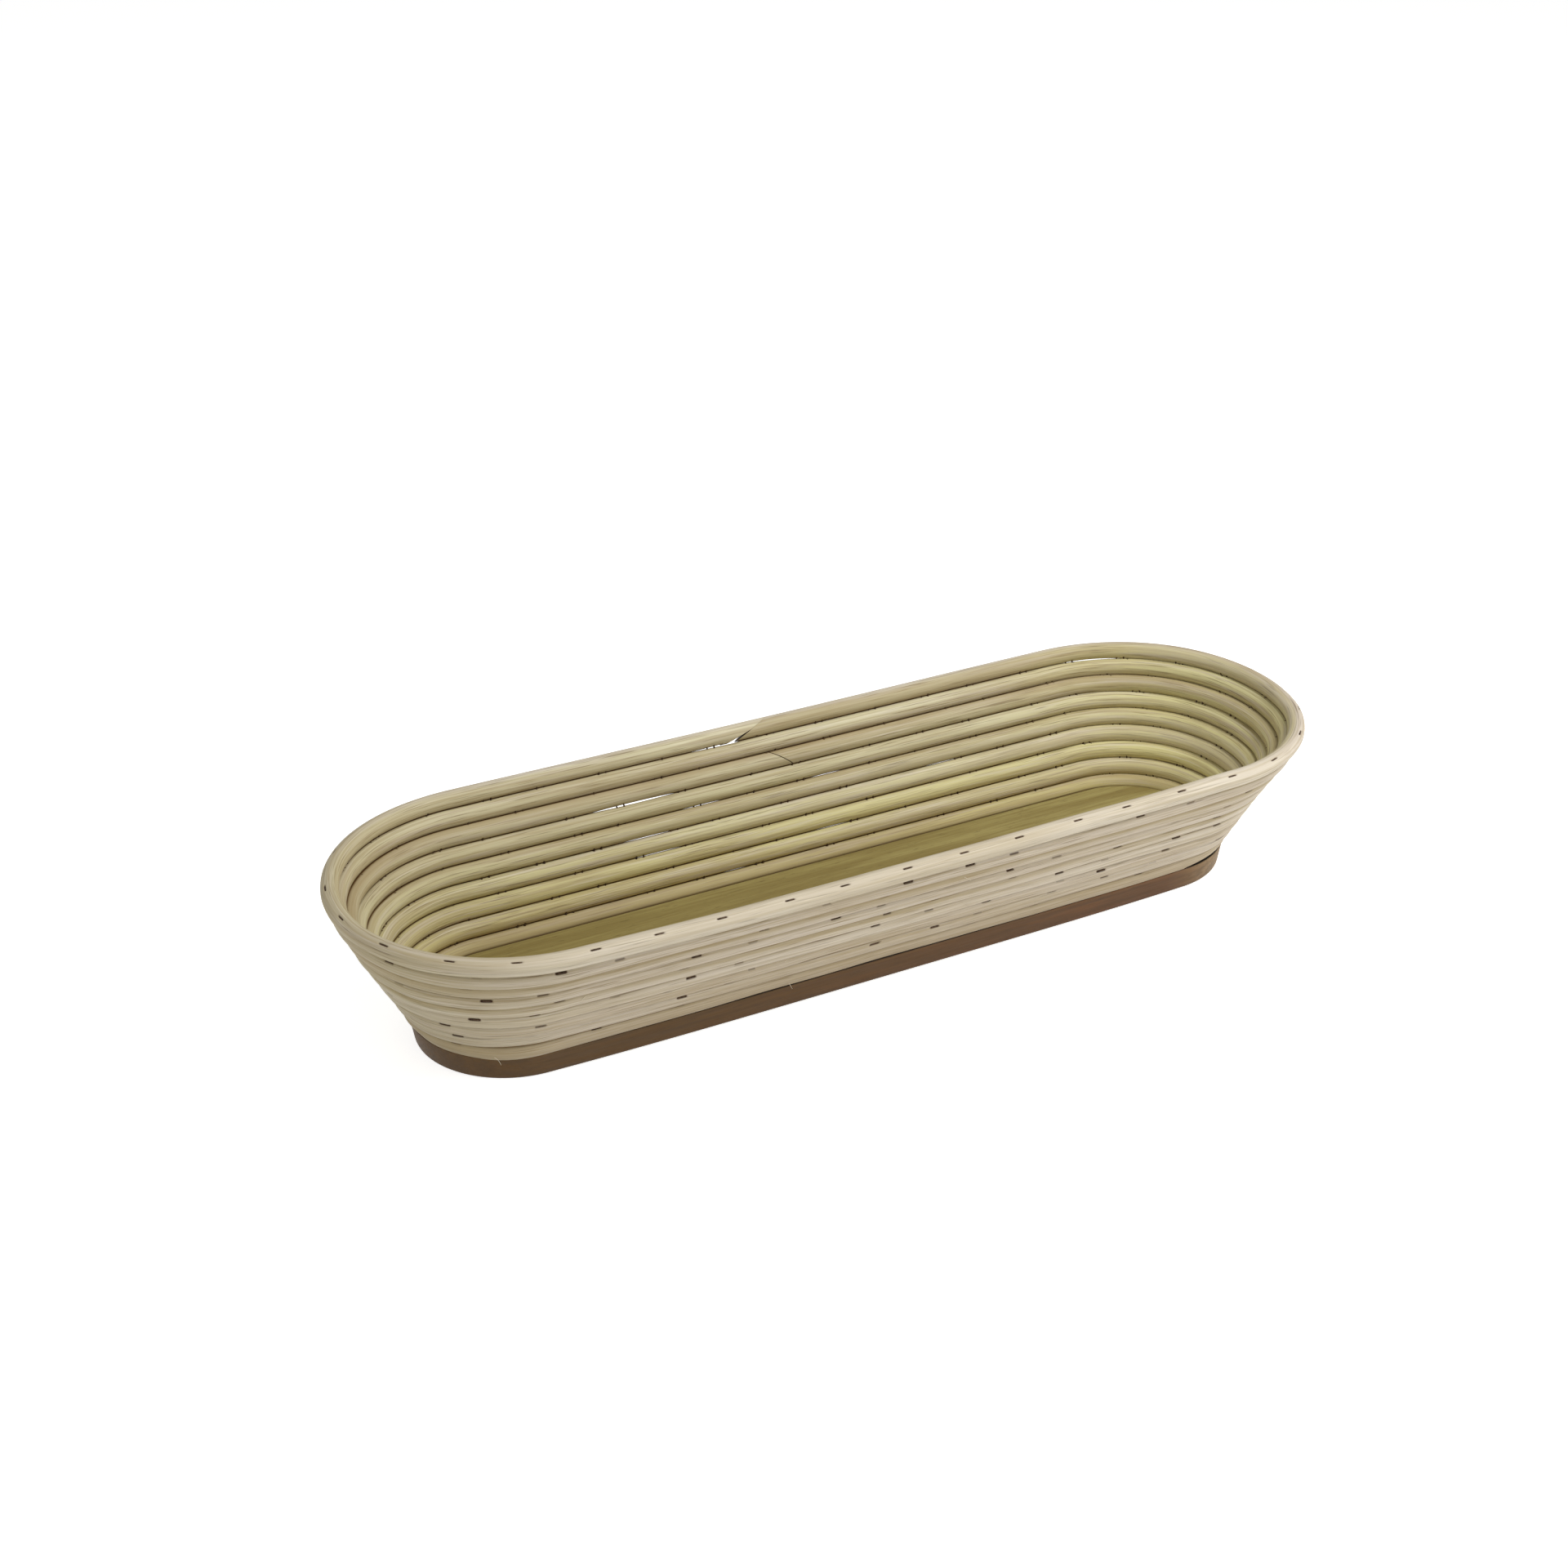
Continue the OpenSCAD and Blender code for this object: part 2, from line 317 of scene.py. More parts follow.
def cane_line(cane, k, distance):
    """Centreline of hoop k as it really lies: points, directions along the cane, up the wall and out of it,
    and the spacing of the hoops. A hand-made lean grows towards the rim: it sits a little along, its sides
    bow, its ends are fuller than half circles. The left end swells at half height, and the foot reaches
    further at the right. Each hoop wanders in and out; the first one's outset dies out at the right."""
    size = SIZES[k - 1]
    x, y, out = loop_at(size, distance)
    flat = np.zeros_like(x)
    outward = np.stack([np.cos(out), np.sin(out), flat], -1)
    along = np.stack([-np.sin(out), np.cos(out), flat], -1)
    past = np.maximum(np.abs(x) - size[0], 0.0)
    corner = np.sin(2 * np.arctan2(np.abs(y), past)) ** 2
    middle = np.cos(np.clip(x / size[0], -1, 1) * math.pi / 2) ** 2
    bow = middle * np.where(y < 0, cane.front_belly, cane.back_belly) + corner * cane.corner_fullness
    swell = cane.end_swell * np.maximum(-np.cos(out), 0.0)
    steps = RIM - 1
    share = (k - 1) / steps
    whole = cane.front_bow * front_share(x, y, size[0]) + 4 * share * (1 - share) * swell
    right = np.maximum(np.cos(out), 0.0)
    reach = cane.rim_shift * np.cos(out) - cane.foot_reach * right
    spread = STEPS[1] + STEPS[0] * np.abs(np.cos(out)) + (bow + reach + 4 * (1 - 2 * share) * swell) / steps
    pitch = np.hypot(spread, STEPS[2])
    lean = np.arctan2(spread, STEPS[2])[:, None]
    upright = np.array([0.0, 0.0, 1.0])
    up = np.sin(lean) * outward + np.cos(lean) * upright
    across = np.cos(lean) * outward - np.sin(lean) * upright
    turn = np.arctan2(y / size[1], x / (size[0] + size[1]))
    wander = cane.wall_stray * (wave(turn, 40 + k, 2, 6) + 0.5 * wave(turn, 60 + k, 7, 26))
    outset = OUTSET[k - 1] * MM * (1 - right if k == 1 else 1.0)
    centre = np.stack([x, y, flat + size[2]], -1) + across * (wander + outset)[:, None]
    centre += outward * (share * bow + whole)[:, None]
    centre[:, 0] += share * cane.rim_shift + (1 - share) * cane.foot_reach * smooth(x / size[0])
    return centre, along, up, across, pitch


def front_share(x, y, straight):
    """1 along most of the front straight, falling to 0 at its ends as the fourth power: where the front
    stands out from the even loop."""
    return (1 - np.minimum(np.abs(x / straight), 1.0) ** 4) * (y < 0)


def slit_under(cane, k, x, y):
    """Height of the open slit under hoop k: a hump along each listed slit, and a wedge that grows towards
    the joint under the rim's loose end."""
    tall = np.zeros_like(x)
    for hoop, side, place, reach, most in SLITS:
        if hoop == k:
            tall += most * MM * hump(x, place, reach) * (y * side > 0)
    if k == RIM:
        at, side = JOINTS[-1][:2]
        near = (x - at * MM + cane.rim_lift_foot + cane.rim_lift_reach) / cane.rim_lift_reach
        tall += cane.rim_lift * np.clip(near, 0, 1) * (near <= 1.0) * (y * side > 0)
    return tall


def section_radius(cane, k, around, pitch, below=0.0, above=0.0):
    """Radius of a cane's section at an angle round it, from up the wall towards the outside. Inside, it is
    half an ellipse as tall as the hoops' spacing, less any slit. Outside, it is a superellipse,
    (|cos / half height| ** p + |sin / half depth| ** p) ** (-1 / p), where sanding raises p, more so below,
    and takes away depth. The first hoop comes down over the board's edge, but not over the end gap."""
    sanding = SANDING[k - 1]
    inside = np.sin(around) < 0
    under = np.cos(around) < 0
    power = np.where(inside, 2.0, 2.0 + cane.squareness * sanding * np.where(under, 1.0, 0.6))
    deep = np.where(inside, CANE_R, CANE_R - cane.sanded * sanding)
    half = pitch / 2 + cane.squeeze - np.where(under, below, above)
    if k == 1:
        shut = np.clip(1 - below / MM, 0, 1)
        half = half + np.where(under & ~inside, cane.edge_overlap * shut * np.sin(around) ** 2, 0.0)
    return (np.abs(np.cos(around) / half) ** power + np.abs(np.sin(around) / deep) ** power) ** (-1 / power)


def staple_places(k):
    """Where the CAD staples of row k sit: distance round the hoop, and angle of the crown round the cane
    from up the wall towards the outside. Their points are sorted by distance and split where more than
    6 mm is free; in each staple the crown is the highest part."""
    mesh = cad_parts[ROWS[k - 1]].data
    points = np.empty(len(mesh.vertices) * 3)
    mesh.vertices.foreach_get("co", points)
    x, y, z = points.reshape(-1, 3).T
    size = SIZES[k - 1]
    distance = distance_of(size, x, y)
    inner = np.clip(x, -size[0], size[0])
    radial = np.hypot(x - inner, y) - size[1]
    level = z - size[2]
    order = np.argsort(distance)
    cuts = np.flatnonzero(np.diff(distance[order]) > 6 * MM) + 1
    places = []
    for part in np.split(order, cuts):
        top = part[level[part] > level[part].max() - 0.5 * MM]
        round_end = abs(x[part] - inner[part]).mean() / size[1]
        lean = math.atan2(STEPS[1] + STEPS[0] * round_end, STEPS[2])
        places.append((distance[part].mean(), math.atan2(radial[top].mean(), level[top].mean()) - lean))
    return np.array(places)


def staple_show(k, count):
    """How openly each staple of row k shows, 0 to 1, by steps of the golden ratio: the rim's all do, and
    fibres closed over most of the others."""
    step = np.mod(np.arange(count) * 0.618 + k * 0.37, 1.0)
    if k == RIM:
        return 0.75 + 0.25 * step
    return 0.1 + 0.9 * step ** 1.3


def leg_show(k, count):
    """How openly each leg of row k shows where it crosses to the next cane, 0 to 1."""
    return np.mod(np.arange(count) * 0.755 + k * 0.31, 1.0) ** 0.8


def put_mesh(name, points, faces, attributes=None):
    """Puts arrays of points and faces into a new smooth mesh object at the origin, with point attributes."""
    mesh = bpy.data.meshes.new(name)
    mesh.from_pydata(points.tolist(), [], faces)
    mesh.polygons.foreach_set("use_smooth", np.ones(len(mesh.polygons), dtype=bool))
    for label, values in (attributes or {}).items():
        kind, key = ("FLOAT_VECTOR", "vector") if values.ndim == 2 else ("FLOAT", "value")
        mesh.attributes.new(label, kind, "POINT").data.foreach_set(key, values.ravel())
    mesh.update()
    made = bpy.data.objects.new(name, mesh)
    bpy.context.scene.collection.objects.link(made)
    return made


def tube_faces(rings, sides, count=1):
    """Faces of tubes of rings, each with a fan at either end about two points after its rings."""
    ring = np.arange(rings - 1)[:, None] * sides
    side = np.arange(sides)
    after = (side + 1) % sides
    quads = np.stack([ring + side, ring + after, ring + sides + after, ring + sides + side], -1)
    last = (rings - 1) * sides
    start = np.stack([after, side, np.full(sides, rings * sides)], -1)
    end = np.stack([last + side, last + after, np.full(sides, rings * sides + 1)], -1)
    one = quads.reshape(-1, 4).tolist() + start.tolist() + end.tolist()
    block = rings * sides + 2
    return [[i + n * block for i in face] for n in range(count) for face in one]


def hoop_rings(cane, k, marks):
    """Distances of the rings along hoop k, from one face of its joint round to the other: an even step,
    with closer rings over each staple and near the two cut ends."""
    size = SIZES[k - 1]
    x, side, _, slant, gap = JOINTS[k - 1]
    start = distance_of(size, np.array([x * MM]), np.array([side * size[1]]))[0]
    half = gap * MM / math.cos(math.radians(slant)) / 2
    first, last = start + half, start + loop_length(size) - half
    even = np.linspace(first, last, int((last - first) / cane.ring_step))
    close = np.linspace(-0.75, 0.75, 13) * cane.pit_length
    pits = np.add.outer(np.mod(marks - first, loop_length(size)) + first, close).ravel()
    near = np.array([0.2, 0.6, 1.2, 2.4]) * MM
    pits = pits[(pits > first) & (pits < last)]
    rings = np.sort(np.concatenate([even, pits, first + near, last - near]))
    keep = np.concatenate([[True], np.diff(rings) > 0.15 * MM])
    keep[-1] = True
    return rings[keep], first, last


def spots(k, rings, around, marks, angles, long, wide, strength):
    """Soft-edged patches on hoop k: 1 inside, 0 outside, at distances and angles round the cane."""
    soft = 0.35 * MM
    span = loop_length(SIZES[k - 1])
    off = rings[:, None] - marks
    off = np.abs(off - span * np.round(off / span))
    turn = around[:, None] - angles
    turn = np.abs(turn - TURN * np.round(turn / TURN)) * CANE_R
    lengthways = smooth((long / 2 + soft - off) / (2 * soft)) * strength
    return np.clip(np.einsum("ri,si->rs", lengthways, smooth((wide / 2 + soft - turn) / (2 * soft))), 0, 1)


def leg_crossings(staples, k, own):
    """Where staples meet hoop k: middles of its own row and of the row above, and for each row the legs'
    distances round the hoop, their angle round the cane and the row. Its own legs leave the cane below;
    the others come in at its top."""
    size = SIZES[k - 1]
    legs = staples.crown / 2 - staples.wire_thick / 2
    slope = math.atan2(staples.inside + 0.5 * MM, CANE_R)
    marks = own
    crossings = [(np.concatenate([own - legs, own + legs]), math.pi + slope, k)]
    if k < RIM:
        x, y, _ = loop_at(SIZES[k], staple_places(k + 1)[:, 0])
        guests = distance_of(size, x, y * size[1] / SIZES[k][1])
        marks = np.concatenate([own, guests])
        crossings.append((np.concatenate([guests - legs, guests + legs]), -slope, k + 1))
    return marks, crossings


def hoop_tone(cane, k, x, y, past_joint, share, high, deep):
    """How far each point of hoop k is sanded, 0 to 1, and its tone. Under the rim, the outside is sanded,
    hoops that stand in keep a less sanded upper part, painted browner as shade under the hoop above, and
    the inside is painted paler to the right and browner to the left, as painted light. The rim is rubbed
    pale on top, most at its loose end, and browner at both ends; its inside is browner right of the joint
    and painted paler at the right end, as painted light."""
    tone_and_light = TONE[k - 1]
    if k < RIM:
        # Upper part of a hoop that stands in: partly unsanded, and painted browner as shade under the hoop
        # above
        recessed = np.clip(-OUTSET[k - 1] / RECESS_FULL, 0, 1) * smooth((share + 0.1) / 0.8)
        sanded = smooth((deep / CANE_R + 0.5) / 1.1) * (1 - 0.2 * recessed)
        # Painted light: paler to the right and browner to the left inside
        drift = (1 - sanded) * np.clip(x / (DRIFT_REACH * MM), -0.6, 0.4)[:, None]
        return sanded, tone_and_light - RECESS_SHADE * recessed + cane.tone_and_light_drift * drift
    outwards, upwards = RIM_RUB
    sanded = smooth(((outwards * deep + upwards * high) / CANE_R + 0.35) / 0.9)
    loose = 1 - ramp(past_joint, 0, PALE_REACH)
    right = ramp(x, *RIM_END)
    left = ramp(-x, *RIM_END)
    browned = (x > JOINTS[-1][0] * MM) * (y > 0) * (1 - ramp(x, *BROWN_END))
    # Painted light: the rim's inside is paler at the right end
    drift = (1 - sanded) * (2 * right - 1.5 * browned)[:, None]
    drift = drift - 1.5 * sanded * right[:, None] - left[:, None]
    return sanded, tone_and_light + cane.rim_pale * sanded + cane.end_pale * loose[:, None] + cane.tone_and_light_drift * drift


def hoop_touch(cane, k, x, share, high, deep):
    """How dark each point of hoop k is, 0 to 1, from dust and painted shade where hoops meet: thin lines
    along its top and bottom, fainter outside and in the right end, and a browner underside inside, which
    is painted shade. The rim has none on top; the first hoop's is faint over the board's edge, and it has
    one along the floor."""
    outer = cane.outer_groove * (1.1 - 0.5 * SANDING[k - 1])
    inner = 1 - 0.9 * ramp(x, *GROOVE_END)[:, None]
    start = np.where(deep < 0, *GROOVE_START)
    touch = smooth((np.abs(share) - start) / GROOVE_SOFT) * np.where(deep < 0, inner, outer)
    if k == RIM:
        touch = touch * (high < 0)
    if k == 1:
        touch = touch * np.where((deep > 0) & (high < 0), EDGE_LINE, 1.0)
        # Painted shade along the floor inside the first hoop
        touch = np.maximum(touch, FLOOR_LINE * (deep < 0) * smooth((-0.36 - high / CANE_R) / 0.2))
    # Painted shade on the underside of each cane inside
    return np.maximum(touch, cane.under_shade * smooth(-0.1 - 0.9 * share) * smooth(-2 * deep / CANE_R))


def cane_hoop(cane, staples, k):
    """Skin of hoop k: the cane's section carried along its centreline. It thins slowly inside, dips into a
    pit at each staple's crown and a dent where each leg crosses to the next cane. Near the joint the rings
    slide along in proportion to their height, which slants the cut; the foot of the rim's loose end slides
    further. Fibres are mirrored to run on across a closed joint."""
    size = SIZES[k - 1]
    rim = k == RIM
    places = staple_places(k)
    marks, crossings = leg_crossings(staples, k, places[:, 0])
    rings, first, last = hoop_rings(cane, k, marks)
    around = np.arange(cane.sides) / cane.sides * TURN
    centre, along, up, across, pitch = cane_line(cane, k, rings)
    x, y, _ = loop_at(size, rings)
    above = slit_under(cane, k + 1, x, y) / 2
    below = slit_under(cane, k, x, y) / 2
    if k == 1:
        below = below - cane.end_drop * smooth(1.5 * (-x - size[0]) / size[1])
        below = below + cane.end_gap * hump(rings, *END_GAP)
    radius = section_radius(cane, k, around, pitch[:, None], below[:, None], above[:, None])
    turn = rings / loop_length(size) * TURN
    thin = cane.thinning * (0.5 + 0.5 * wave(turn, 80 + k, 2, 20))
    radius = radius * (1 - np.multiply.outer(thin, np.maximum(-np.sin(around), 0) ** 2))
    show = staple_show(k, len(places))
    wide = cane.pit_width * (1.0 if rim else cane.pit_torn)
    pit = spots(k, rings, around, places[:, 0], places[:, 1], cane.pit_length, wide, show)
    dent = 0.0
    for at, angle, row in crossings:
        angles = np.full(len(at), angle)
        show = leg_show(row, len(at))
        dent = dent + spots(k, rings, around, at, angles, DENT_LONG * MM, DENT_WIDE * MM, show)
    radius = radius - cane.pit_depth * pit - cane.dent_depth * dent
    high = radius * np.cos(around)
    deep = radius * np.sin(around)
    _, _, way, angle, gap = JOINTS[k - 1]
    slide = 1 - ramp(np.minimum(rings - first, last - rings), 0, JOINT_REACH)
    run = -way * math.tan(math.radians(angle)) * slide[:, None] * high
    if rim:
        loose = (rings - first < JOINT_REACH * MM)[:, None] & (high < 0)
        run = run * (1 + cane.rim_notch * loose)
    points = (centre[:, None] + high[..., None] * up[:, None] + deep[..., None] * across[:, None]
              + run[..., None] * along[:, None])
    reach = rings[:, None] + run
    # Staple pits and leg dents are painted dark as shade in these hollows
    hole_shade = np.maximum(pit, dent)
    if gap < OPEN_GAP:
        reach = np.abs(reach - (first + last) / 2)
    else:
        cut = high[[0, -1]] < (-0.1 * CANE_R if rim else CANE_R)
        # The cut ends of an open joint are painted dark as shade in the gap
        hole_shade[[0, -1]] = np.where(cut, CUT_DARK, hole_shade[[0, -1]])
    place, half, angle, dark = np.array([split[1:] for split in SPLITS if split[0] == k]).reshape(-1, 4).T
    # Splits are painted as thin dark lines of shade
    line = spots(k, rings, around, place * MM, np.radians(angle), 2 * half * MM, 0.1 * MM, dark)
    hole_shade = np.maximum(hole_shade, line)
    share = high / (pitch / 2)[:, None]
    sanded, tone_and_light = hoop_tone(cane, k, x, y, rings - first, share, high, deep)
    # Dust and painted shade along the grooves, and painted shade under each cane inside
    touch = hoop_touch(cane, k, x, share, high, deep)
    straight = np.stack([reach + PATTERN_STEP * k, high, deep], -1).reshape(-1, 3)
    marked = {"straight": np.concatenate([straight, straight[[0, -1]]])}
    for label, values, end in (
            ("hole_shade", hole_shade, 1.0), ("sanded", sanded, 0.0), ("tone_and_light", tone_and_light, 0.0), ("touch", touch, 0.0)):
        marked[label] = np.append(values.ravel(), [end, end])
    skin = np.concatenate([points.reshape(-1, 3), centre[[0, -1]]])
    return put_mesh("cane_" + HOOPS[k - 1], skin, tube_faces(len(rings), cane.sides), marked)


def add(tree, kind, inputs=None, **settings):
    """Adds a node: settings go on the node, inputs on its sockets, by name or number, as values or links."""
    made = tree.nodes.new(kind)
    for name, value in settings.items():
        setattr(made, name, value)
    for name, value in (inputs or {}).items():
        if isinstance(value, bpy.types.NodeSocket):
            tree.links.new(value, made.inputs[name])
        else:
            made.inputs[name].default_value = value
    return made


def new_material(name):
    """An empty material with its Principled shader and its tree."""
    made = bpy.data.materials.new(name)
    made.use_nodes = True
    return made, made.node_tree, made.node_tree.nodes["Principled BSDF"]


def rgba(value):
    """A colour with full alpha."""
    return (*value, 1.0)


def stack_streaks(tree, place, base, layers):
    """Lays streaks over a base colour, one at a time: noise with features as long and wide as given in mm,
    its values from low to high bringing in up to the given amount of a colour. Gives the colour and the
    last noise."""
    for along, across, low, high, amount, tint in layers:
        stretched = add(tree, "ShaderNodeMapping", {
            "Vector": place, "Scale": (1 / (along * MM), 1 / (across * MM), 1 / (across * MM))})
        noise = add(tree, "ShaderNodeTexNoise", {
            "Vector": stretched.outputs[0], "Scale": 1.0, "Detail": 2.0, "Roughness": 0.6})
        layer = (noise.outputs["Fac"], low, high, amount, rgba(tint))
        base = stack_tints(tree, base, [layer], "SMOOTHSTEP")
    return base, noise.outputs["Fac"]


def stack_tints(tree, base, layers, blend="LINEAR"):
    """Lays tints over a base colour, one at a time: as a value goes from low to high, up to the given amount
    of a colour comes in."""
    for value, low, high, amount, tint in layers:
        part = add(tree, "ShaderNodeMapRange", {
            "Value": value, "From Min": low, "From Max": high, "To Max": amount}, interpolation_type=blend)
        mixed = add(tree, "ShaderNodeMix", {0: part.outputs[0], 6: base, 7: tint}, data_type="RGBA")
        base = mixed.outputs[2]
    return base


def finish_surface(tree, shader, base, noise, dull, duller, depth, sheen=0.5):
    """Puts colour and sheen on the shader, and lets the last noise vary its roughness and raise relief."""
    tree.links.new(base, shader.inputs["Base Color"])
    shader.inputs["Specular IOR Level"].default_value = sheen
    rough = add(tree, "ShaderNodeMapRange", {
        "Value": noise, "From Min": 0.3, "From Max": 0.7, "To Min": dull, "To Max": duller})
    tree.links.new(rough.outputs[0], shader.inputs["Roughness"])
    bump = add(tree, "ShaderNodeBump", {"Height": noise, "Strength": 0.4, "Distance": depth})
    tree.links.new(bump.outputs[0], shader.inputs["Normal"])


def bare_cane(cane):
    """Bare rattan core, sanded flat outside: dull, with fibres as pale and dark streaks, drawn about 1 mm
    wide so that they show. Tone drifts over 100 to 300 mm and changes at a joint. Inside it is yellower,
    most of all low down, and paler and yellower in the right end as painted light; outside, the left end
    is darker and more olive, partly painted shade. Dust and painted shade darken where hoops meet, and
    staple pits, leg dents, splits and open cuts are painted dark as shade in these hollows."""
    made, tree, shader = new_material("bare_rattan_cane")
    straight = add(tree, "ShaderNodeAttribute", attribute_name="straight").outputs["Vector"]
    place = add(tree, "ShaderNodeSeparateXYZ", {"Vector": add(tree, "ShaderNodeTexCoord").outputs["Object"]})
    sanded, tone_and_light, touch, hole_shade = (
        add(tree, "ShaderNodeAttribute", attribute_name=label).outputs["Fac"]
        for label in ("sanded", "tone_and_light", "touch", "hole_shade"))
    inner = stack_tints(tree, rgba(cane.olive), [
        (place.outputs["Z"], 0.02, 0.06, 1.0, rgba(cane.warm)),
        # Painted light: paler, yellower cane inside the right end
        (place.outputs["X"], 0.12, 0.2, 0.6, rgba(cane.far))])
    # Painted shade with an olive hue outside the left end
    outer = stack_tints(tree, rgba(cane.pale), [(place.outputs["X"], -0.15, -0.22, 0.5, rgba(cane.left))])
    base = stack_tints(tree, inner, [(sanded, 0.0, 1.0, 1.0, outer)])
    base, noise = stack_streaks(tree, straight, base, [
        (280, 40, 0.45, 0.62, 0.4, cane.stain_and_shade),
        (120, 5, 0.5, 0.7, 0.35, cane.stain_and_shade),
        (60, 2.2, 0.5, 0.68, 0.5, cane.pale),
        (26, 0.6, 0.55, 0.7, 0.65, cane.fibre),
        (34, 0.5, 0.54, 0.7, 0.45, cane.cream_and_light),
        (70, 0.9, 0.44, 0.66, 0.5, cane.stain_and_shade)])
    # Real tone of the cane, with painted light paler to the right and painted shade on the left and on
    # recessed hoops
    base = stack_tints(tree, base, [
        (tone_and_light, 0.0, -1.0, 1.0, rgba(cane.stain_and_shade)),
        (tone_and_light, 0.0, 1.0, 1.0, rgba(cane.cream_and_light)),
        # Dust and painted shade where hoops meet
        (touch, 0.0, 1.0, 1.0, rgba(cane.groove)),
        # Painted shade in pits, dents, splits and open cuts
        (hole_shade, 0.15, 0.6, 1.0, rgba(cane.hole_shade))])
    finish_surface(tree, shader, base, noise, 0.52, 0.7, 0.15 * MM, 0.3)
    return made


def sanded_wood(board):
    """Sanded brown hardwood: grain along the board in bands 2 to 12 mm wide, short dark pores, a browner cut
    edge, painted darker as shade, that pales to the right and turns tan round the right end. The top is
    painted paler towards the right, as painted light. The step under the first hoop is painted darkest,
    as shade in the gap under that hoop. Dull, with a little sheen left by sanding."""
    made, tree, shader = new_material("sanded_hardwood")
    place = add(tree, "ShaderNodeTexCoord").outputs["Object"]
    along = add(tree, "ShaderNodeSeparateXYZ", {"Vector": place}).outputs["X"]
    # Painted light: grain paler towards the right
    painted_light_grain = stack_tints(tree, rgba(board.light), [(along, -0.1, 0.2, 1.0, rgba(board.painted_light_grain))])
    floor, noise = stack_streaks(tree, place, painted_light_grain, [
        (120, 9, 0.38, 0.64, 0.75, board.dark),
        (45, 2.2, 0.46, 0.68, 0.55, board.dark),
        (8, 0.8, 0.6, 0.72, 0.55, board.pore),
        (25, 0.9, 0.45, 0.7, 0.5, board.dark)])
    # Browner edge, painted darker as shade; paler to the right
    tone_and_light = stack_tints(tree, rgba(board.edge), [
        (along, -0.1, 0.2, 1.0, rgba(board.edge_pale)), (along, 0.155, 0.185, 0.75, rgba(board.tip))])
    edge, _ = stack_streaks(tree, place, tone_and_light, [
        (90, 4, 0.4, 0.62, 0.4, board.pore),
        (30, 2.4, 0.48, 0.68, 0.3, board.pore),
        (10, 0.9, 0.58, 0.72, 0.5, board.pore)])
    cut = add(tree, "ShaderNodeAttribute", attribute_name="cut").outputs["Fac"]
    # The edge is partly painted shade; the step is painted dark as shade under the first hoop
    base = stack_tints(tree, floor, [
        (cut, 0.0, 1.0, 1.0, edge), (cut, 1.1, 1.7, 1.0, rgba(board.ledge_shade))])
    finish_surface(tree, shader, base, noise, 0.5, 0.66, 0.12 * MM, 0.35)
    return made


def tarnished_wire(staples):
    """Flattened steel staple wire, tarnished in patches about 1 mm across by the damp dough."""
    made, tree, shader = new_material("tarnished_steel_wire")
    place = add(tree, "ShaderNodeTexCoord").outputs["Object"]
    # Steel painted dark brown: tarnish, and painted shade of the pits
    base, noise = stack_streaks(tree, place, rgba(staples.steel), [(1.2, 1.2, 0.35, 0.6, 1.0, staples.rust)])
    finish_surface(tree, shader, base, noise, 0.35, 0.7, 0.02 * MM)
    shader.inputs["Metallic"].default_value = 0.15
    return made


def rounded(corners, radius, count=4):
    """Profile through the corners, each replaced by a small arc of points: the corner is cut back by
    the radius along both sides and bent by a quadratic curve."""
    corners = np.array(corners, dtype=float)
    t = np.linspace(0, 1, count)[:, None]
    pieces = [corners[:1]]
    for before, here, after in zip(corners[:-2], corners[1:-1], corners[2:]):
        a = here + (before - here) * min(radius / np.linalg.norm(before - here), 0.45)
        b = here + (after - here) * min(radius / np.linalg.norm(after - here), 0.45)
        pieces.append((1 - t) ** 2 * a + 2 * t * (1 - t) * here + t ** 2 * b)
    pieces.append(corners[-1:])
    return np.concatenate(pieces)


def base_board(cane, board):
    """Board with rounded ends: its half section, from the middle of the underside over edge, step and floor
    to the middle of the top, carried round the long loop and merged along the middle. Its front bows and
    its right end reaches further, as the wall does. Cut is 0 on the floor, 1 on the edge, which is painted
    darker in part as shade, and 2 on the step, which is painted dark as shade under the first hoop."""
    low, high = (np.array(corner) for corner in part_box("base_board"))
    half = (high - low) / 2
    straight = half[0] - half[1]
    floor_r = half[1] - board.step_width
    step_r = half[1] - board.edge_worn
    top = high[2]
    step_z = top - board.step_depth
    profile = rounded([
        (floor_r * 0.5, 0.0), (step_r - board.edge_taper, 0.0), (step_r, step_z), (floor_r, step_z),
        (floor_r, top), (floor_r * 0.5, top)], board.edge_round)
    profile = np.concatenate([[[0.0, 0.0]], profile, [[0.0, top]]])
    size = (straight, step_r, 0.0, 0.0)
    distance = np.linspace(0, loop_length(size), 360, endpoint=False)
    x, y, out = loop_at(size, distance)
    middle = np.stack([x - step_r * np.cos(out), np.zeros_like(x)], -1)
    outward = np.stack([np.cos(out), np.sin(out)], -1)
    flat = middle[:, None] + profile[:, :1] * outward[:, None]
    level = np.broadcast_to(profile[:, 1:], (*flat.shape[:2], 1))
    points = np.concatenate([flat, level], -1)
    points[:, :, 1] -= cane.front_bow * front_share(x, y, straight)[:, None] * profile[:, 0] / step_r
    points[:, :, 0] += (cane.foot_reach + board.end_reach) * smooth(points[:, :, 0] / straight)
    rings, count = points.shape[:2]
    ring = np.arange(rings)[:, None]
    step = np.arange(count - 1)
    here = ring * count + step
    after = (ring + 1) % rings * count + step
    faces = np.stack([here, after, after + 1, here + 1], -1)
    below_floor = profile[:, 1] < step_z + 0.3 * MM
    # The step, painted dark as shade under the first hoop
    on_step = (np.abs(profile[:, 1] - step_z) < 0.15 * MM) & (profile[:, 0] < step_r - 0.2 * MM)
    cut = np.broadcast_to(below_floor + 1.0 * on_step, (rings, count))
    made = put_mesh(
        "base_board_wood", points.reshape(-1, 3), faces.reshape(-1, 4).tolist(), {"cut": cut.ravel()})
    close_seams(made, 0.01 * MM)
    return made


